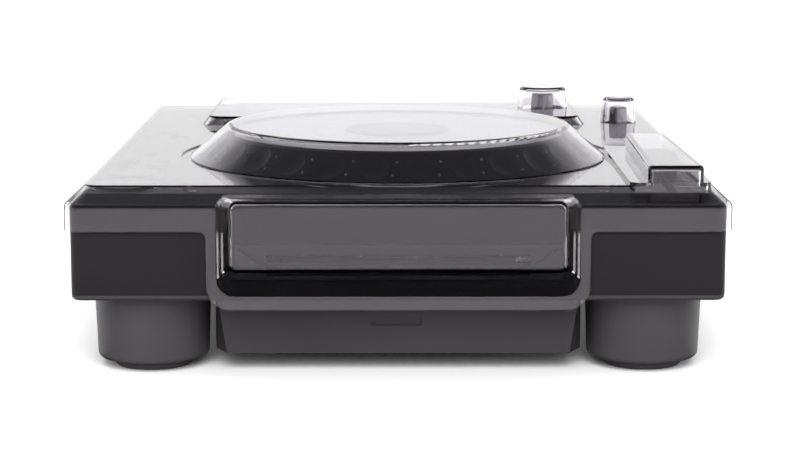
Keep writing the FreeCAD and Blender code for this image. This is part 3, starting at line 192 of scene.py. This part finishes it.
def lay_floor():
    material = plain("floor_paper", (0.94, 0.94, 0.94), 0.9)
    lay_sheet("floor", FLOOR_HALF, -FLOOR_HALF, FLOOR_HALF, 0.0, material)
    lay_flag()


def lay_flag():
    """Black card on the floor at the player's front, seen only in reflections and through the cover:
    painted shade that makes the cover's lower front reflect black.
    """
    material = plain("reflection_shade_black", (0.004, 0.004, 0.004), 0.9)
    card = lay_sheet("reflection_shade_card", FLAG_HALF_WIDTH, FLAG_NEAR, FLAG_FAR, FLAG_HEIGHT, material)
    card.visible_camera = False
    card.visible_diffuse = False
    card.visible_shadow = False


def lay_sheet(name, half, near, far, height, material):
    mesh = bpy.data.meshes.new(name)
    corners = [(-half, near, height), (half, near, height), (half, far, height), (-half, far, height)]
    mesh.from_pydata(corners, [], [(0, 1, 2, 3)])
    mesh.materials.append(material)
    sheet = link(bpy.data.objects.new(name, mesh))
    return sheet


# Materials

def new_material(name):
    material = bpy.data.materials.new(name)
    material.use_nodes = True
    tree = material.node_tree
    shader = tree.nodes["Principled BSDF"]
    return material, tree, shader


def plain(name, color, rough):
    """Even material for what isn't part of the object."""
    material, _, shader = new_material(name)
    shader.inputs["Base Color"].default_value = tuple(color) + (1.0,)
    shader.inputs["Roughness"].default_value = rough
    shader.inputs["Specular IOR Level"].default_value = 0.1
    return material


def noise(tree, scale, detail):
    coordinates = tree.nodes.new("ShaderNodeTexCoord")
    texture = tree.nodes.new("ShaderNodeTexNoise")
    texture.inputs["Scale"].default_value = scale
    texture.inputs["Detail"].default_value = detail
    texture.inputs["Roughness"].default_value = NOISE_ROUGHNESS
    tree.links.new(coordinates.outputs["Object"], texture.inputs["Vector"])
    return texture.outputs["Fac"]


def ramp(tree, factor, low, high):
    """Maps a factor to a colour between two greys or colours."""
    node = tree.nodes.new("ShaderNodeValToRGB")
    node.color_ramp.elements[0].position = TONE_START
    node.color_ramp.elements[1].position = TONE_END
    node.color_ramp.elements[0].color = tuple(low) + (1.0,)
    node.color_ramp.elements[1].color = tuple(high) + (1.0,)
    tree.links.new(factor, node.inputs["Fac"])
    return node.outputs["Color"]


def map_range(tree, factor, low, high):
    node = tree.nodes.new("ShaderNodeMapRange")
    node.inputs["To Min"].default_value = low
    node.inputs["To Max"].default_value = high
    tree.links.new(factor, node.inputs["Value"])
    return node.outputs["Result"]


def bump(tree, shader, height, distance):
    node = tree.nodes.new("ShaderNodeBump")
    node.inputs["Distance"].default_value = distance
    node.inputs["Strength"].default_value = 1.0
    tree.links.new(height, node.inputs["Height"])
    tree.links.new(node.outputs["Normal"], shader.inputs["Normal"])


def plastic(name, color, rough, grain=GRAIN_HEIGHT, specular=0.3):
    """Moulded plastic with a fine spark-eroded grain and a slight change of tone."""
    material, tree, shader = new_material(name)
    shader.inputs["Specular IOR Level"].default_value = specular
    tone = noise(tree, TONE_SCALE, 3.0)
    low = [c * (1.0 - TONE_VARIATION) for c in color]
    high = [min(1.0, c * (1.0 + TONE_VARIATION)) for c in color]
    tree.links.new(ramp(tree, tone, low, high), shader.inputs["Base Color"])
    tree.links.new(map_range(tree, noise(tree, ROUGHNESS_SCALE, 5.0), rough * 0.85, min(1.0, rough * 1.15)),
                   shader.inputs["Roughness"])
    if grain:
        bump(tree, shader, noise(tree, GRAIN_SCALE, 2.0), grain)
    return material


def clear_plastic(name, tint):
    """Polished clear sheet with slight haze."""
    material, tree, shader = new_material(name)
    shader.inputs["Base Color"].default_value = tuple(tint) + (1.0,)
    shader.inputs["Transmission Weight"].default_value = 1.0
    shader.inputs["IOR"].default_value = COVER_IOR
    shader.inputs["Specular Tint"].default_value = COVER_SHEEN
    haze = noise(tree, HAZE_SCALE, 4.0)
    tree.links.new(map_range(tree, haze, COVER_ROUGHNESS * 0.5, COVER_ROUGHNESS * 1.5),
                   shader.inputs["Roughness"])
    return material


def metal(name, color, rough):
    material, tree, shader = new_material(name)
    shader.inputs["Metallic"].default_value = 1.0
    tone = noise(tree, METAL_TONE_SCALE, 5.0)
    tree.links.new(ramp(tree, tone, [c * 0.9 for c in color], color), shader.inputs["Base Color"])
    tree.links.new(map_range(tree, noise(tree, METAL_ROUGHNESS_SCALE, 3.0), rough * 0.7, rough * 1.3),
                   shader.inputs["Roughness"])
    return material


def dress(material, *names):
    for name in names:
        mesh = nodes[name].data
        mesh.materials.clear()
        mesh.materials.append(material)


def turned_metal(name, color, rough, center):
    """Aluminium turned on a lathe, with fine rings round a center."""
    material, tree, shader = new_material(name)
    shader.inputs["Metallic"].default_value = 1.0
    shader.inputs["Base Color"].default_value = tuple(color) + (1.0,)
    coordinates = tree.nodes.new("ShaderNodeTexCoord")
    shift = tree.nodes.new("ShaderNodeVectorMath")
    shift.operation = "SUBTRACT"
    shift.inputs[1].default_value = (center[0], center[1], 0.0)
    flat = tree.nodes.new("ShaderNodeVectorMath")
    flat.operation = "MULTIPLY"
    flat.inputs[1].default_value = (1.0, 1.0, 0.0)
    wave = tree.nodes.new("ShaderNodeTexWave")
    wave.wave_type = "RINGS"
    wave.rings_direction = "SPHERICAL"
    wave.inputs["Scale"].default_value = RING_SCALE
    wave.inputs["Distortion"].default_value = RING_WOBBLE
    tree.links.new(coordinates.outputs["Object"], shift.inputs[0])
    tree.links.new(shift.outputs["Vector"], flat.inputs[0])
    tree.links.new(flat.outputs["Vector"], wave.inputs["Vector"])
    bump(tree, shader, wave.outputs["Fac"], RING_HEIGHT)
    tree.links.new(map_range(tree, wave.outputs["Fac"], rough * 0.8, rough * 1.2),
                   shader.inputs["Roughness"])
    return material


def middle(name):
    low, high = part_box(name)
    return [(a + b) / 2 for a, b in zip(low, high)]


def finish_nodes():
    dress(clear_plastic("cover_clear", (0.885, 0.86, 0.9)), "dust_cover")
    dress(plastic("case_black", (0.010, 0.0088, 0.0098), 0.42, specular=0.15), "case_shell", "rear_panel")
    dress(plastic("bezel_black", (0.012, 0.011, 0.012), 0.4), "slot_bezel")
    dress(plastic("pan_grey", (0.030, 0.027, 0.030), 0.5), "base_pan")
    dress(plastic("deck_black", (0.016, 0.015, 0.017), 0.4), "deck_panel")
    dress(plastic("hood_black", (0.014, 0.014, 0.016), 0.25), "display_hood")
    dress(plastic("window_smoke", (0.008, 0.008, 0.01), 0.06, grain=0.0), "display_window")
    dress(plastic("screen_black", (0.01, 0.011, 0.014), 0.15, grain=0.0), "display_panel", "jog_display")
    dress(plastic("foot_grey", (0.040, 0.037, 0.040), 0.45), "feet")
    dress(plastic("pad_rubber", (0.045, 0.042, 0.045), 0.8), "foot_pads", "drive_dampers",
          "loading_roller")
    dress(plastic("jog_black", (0.011, 0.010, 0.011), 0.38, grain=0.00002), "jog_ring")
    dress(turned_metal("jog_metal", (0.6, 0.61, 0.63), 0.3, middle("jog_plate")), "jog_plate")
    dress(plastic("gear_white", (0.75, 0.75, 0.72), 0.5), "jog_gear", "encoder_gear")
    dress(plastic("inner_black", (0.04, 0.04, 0.045), 0.5), "jog_hub", "encoder_sensor", "slider_unit",
          "clamp_arm", "turntable", "mains_inlet")
    dress(metal("steel", (0.6, 0.6, 0.62), 0.25), "jog_bearing", "guide_rods", "lead_screw",
          "spindle_motor", "drive_motors", "usb_port", "rear_sockets", "laser_pickup", "drive_frame")
    dress(metal("screw_steel", (0.08, 0.08, 0.085), 0.35), "case_screws")
    dress(plastic("board_green", (0.01, 0.07, 0.03), 0.4), "control_boards", "main_board", "power_supply")
    dress(metal("knob_chrome", (0.34, 0.33, 0.35), 0.2), "selector_knob", "speed_knob")
    dress(plastic("slider_black", (0.02, 0.02, 0.021), 0.35), "tempo_slider", "reverse_lever")
    dress(plastic("play_green", (0.018, 0.026, 0.02), 0.3, specular=0.5), "play_button")
    dress(plastic("cue_amber", (0.03, 0.024, 0.017), 0.3, specular=0.5), "cue_button")
    lit = ("play_button", "cue_button")
    keys = [name for name in nodes if name.endswith("_button") and name not in lit]
    dress(plastic("key_grey", (0.045, 0.044, 0.047), 0.42), *keys)


# Own pieces

def add_piece(name, mesh, material, body):
    obj = link(bpy.data.objects.new(name, mesh))
    mesh.materials.append(material)
    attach(obj, body)
    return obj


def mesh_from(name, build):
    """Runs build on an empty bmesh and stores the result as a mesh."""
    work = bmesh.new()
    build(work)
    bmesh.ops.recalc_face_normals(work, faces=work.faces)
    mesh = bpy.data.meshes.new(name)
    work.to_mesh(mesh)
    work.free()
    return mesh


def add_plate(work, outline, low, high):
    """Upright-sided plate over a level outline."""
    bottom = [work.verts.new((x, y, low)) for x, y in outline]
    top = [work.verts.new((x, y, high)) for x, y in outline]
    work.faces.new(list(reversed(bottom)))
    work.faces.new(top)
    count = len(outline)
    for i in range(count):
        j = (i + 1) % count
        work.faces.new((bottom[i], bottom[j], top[j], top[i]))


def add_bar(work, x0, x1, y0, y1, low, high):
    add_plate(work, [(x0, y0), (x1, y0), (x1, y1), (x0, y1)], low, high)


def add_ring(work, x, y, inner, outer, low, high):
    """Flat ring with a softly crowned top."""
    crown = high + (outer - inner) * LIGHT_CROWN
    profile = [(outer, low), (outer, high), ((inner + outer) / 2, crown), (inner, high), (inner, low)]
    loops = []
    for i in range(LIGHT_STEPS):
        angle = 2 * math.pi * i / LIGHT_STEPS
        loops.append([work.verts.new((x + r * math.cos(angle), y + r * math.sin(angle), z))
                      for r, z in profile])
    for i in range(LIGHT_STEPS):
        near, far = loops[i], loops[(i + 1) % LIGHT_STEPS]
        for k in range(len(profile)):
            m = (k + 1) % len(profile)
            work.faces.new((near[k], far[k], far[m], near[m]))


def jog_pips():
    """Small raised pips between the dimples, one high and one low in each gap."""
    x0, y0 = middle("jog_ring")[:2]

    def build(work):
        for i in range(DIMPLES):
            angle = math.radians(-90.0 + DIMPLE_PHASE + 360.0 * (i + 0.5) / DIMPLES)
            for share, turn in ((PIP_HIGH_SHARE, 0.0), (PIP_LOW_SHARE, PIP_LOW_TURN)):
                spot = angle + math.radians(turn)
                radius = RIM_RADIUS + share * (SKIRT_RADIUS - RIM_RADIUS)
                z = RIM_Z + share * (SKIRT_Z - RIM_Z)
                place = Matrix.Translation((x0 + radius * math.cos(spot), y0 + radius * math.sin(spot), z))
                bmesh.ops.create_icosphere(work, subdivisions=2, radius=PIP_RADIUS, matrix=place)

    mesh = mesh_from("jog_pips", build)
    # The pips' light grey, far paler than the ring's black, is a painted highlight added to the real glints
    # their gloss catches
    add_piece("jog_pips", mesh, plastic("pip_gloss_and_painted_highlight", (0.16, 0.155, 0.165), 0.15, grain=0.0, specular=0.6),
              "jog")


def button_lights():
    """Light rings in the deck round play and cue."""
    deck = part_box("deck_panel")[1][2]
    for node, name, color in (("play_button", "play_light", (0.04, 0.085, 0.052)),
                              ("cue_button", "cue_light", (0.12, 0.075, 0.035))):
        x, y = middle(node)[:2]

        def build(work):
            add_ring(work, x, y, LIGHT_INNER, LIGHT_OUTER, deck - LIGHT_SUNK, deck + LIGHT_PROUD)

        mesh = mesh_from(name, build)
        add_piece(name, mesh, plastic(name + "_lens", color, 0.25, grain=0.0, specular=0.5), "root")


def play_mark():
    """Play and pause sign on the play key."""
    x, y = middle("play_button")[:2]
    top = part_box("play_button")[1][2]

    def build(work):
        low, high = top - SIGN_SUNK, top + SIGN_PROUD
        back = x - SIGN_LEFT
        add_plate(work, [(back, y - SIGN_HALF), (x + SIGN_TIP, y), (back, y + SIGN_HALF)], low, high)
        for left in PAUSE_LEFTS:
            add_bar(work, x + left, x + left + PAUSE_WIDTH, y - SIGN_HALF, y + SIGN_HALF, low, high)

    add_piece("play_mark", mesh_from("play_mark", build), ink(), "play_key")


def ink():
    return plastic("ink_white", (0.55, 0.55, 0.56), 0.5, grain=0.0)


def tempo_scale():
    """Printed ticks beside the tempo slider."""
    low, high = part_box("slider_unit")
    x = (low[0] + high[0]) / 2
    y = (low[1] + high[1]) / 2
    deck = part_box("deck_panel")[1][2]

    def build(work):
        for i in range(-TICKS_EACH_WAY, TICKS_EACH_WAY + 1):
            reach = TICK_LONG if i % LONG_TICK_EVERY == 0 else TICK_SHORT
            if i == 0:
                reach = TICK_MIDDLE
            spot = y + i * TICK_PITCH
            for side in (-1, 1):
                start = x + side * TICK_OFFSET
                end = start + side * reach
                add_bar(work, min(start, end), max(start, end), spot - TICK_HALF, spot + TICK_HALF,
                        deck - TICK_SUNK, deck + TICK_PROUD)

    add_piece("tempo_scale", mesh_from("tempo_scale", build), ink(), "root")


def add_screw(work, x, y, z):
    """Domed screw head that stands out along Y, closed at its back."""
    rows = []
    for i in range(SCREW_STEPS):
        angle = 2 * math.pi * i / SCREW_STEPS
        rows.append([work.verts.new((x + r * math.cos(angle), y + out, z + r * math.sin(angle)))
                     for r, out in SCREW_PROFILE])
    tip = work.verts.new((x, y + SCREW_PROFILE[-1][1], z))
    back = work.verts.new((x, y + SCREW_PROFILE[0][1], z))
    for i in range(SCREW_STEPS):
        near, far = rows[i], rows[(i + 1) % SCREW_STEPS]
        for k in range(len(near) - 1):
            work.faces.new((near[k], far[k], far[k + 1], near[k + 1]))
        work.faces.new((near[-1], far[-1], tip))
        work.faces.new((near[0], back, far[0]))


def rear_screws():
    """Screws along the upper and lower edges of the rear panel."""
    low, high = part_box("rear_panel")

    def build(work):
        for x in (low[0] + SCREW_INSET, (low[0] + high[0]) / 2, high[0] - SCREW_INSET):
            for z in (low[2] + SCREW_INSET, high[2] - SCREW_INSET):
                add_screw(work, x, high[1], z)

    material = metal("screw_black", (0.07, 0.07, 0.075), 0.3)
    add_piece("rear_screws", mesh_from("rear_screws", build), material, "root")


place_camera()
light_studio()
lay_floor()
finish_nodes()
jog_pips()
button_lights()
play_mark()
tempo_scale()
rear_screws()
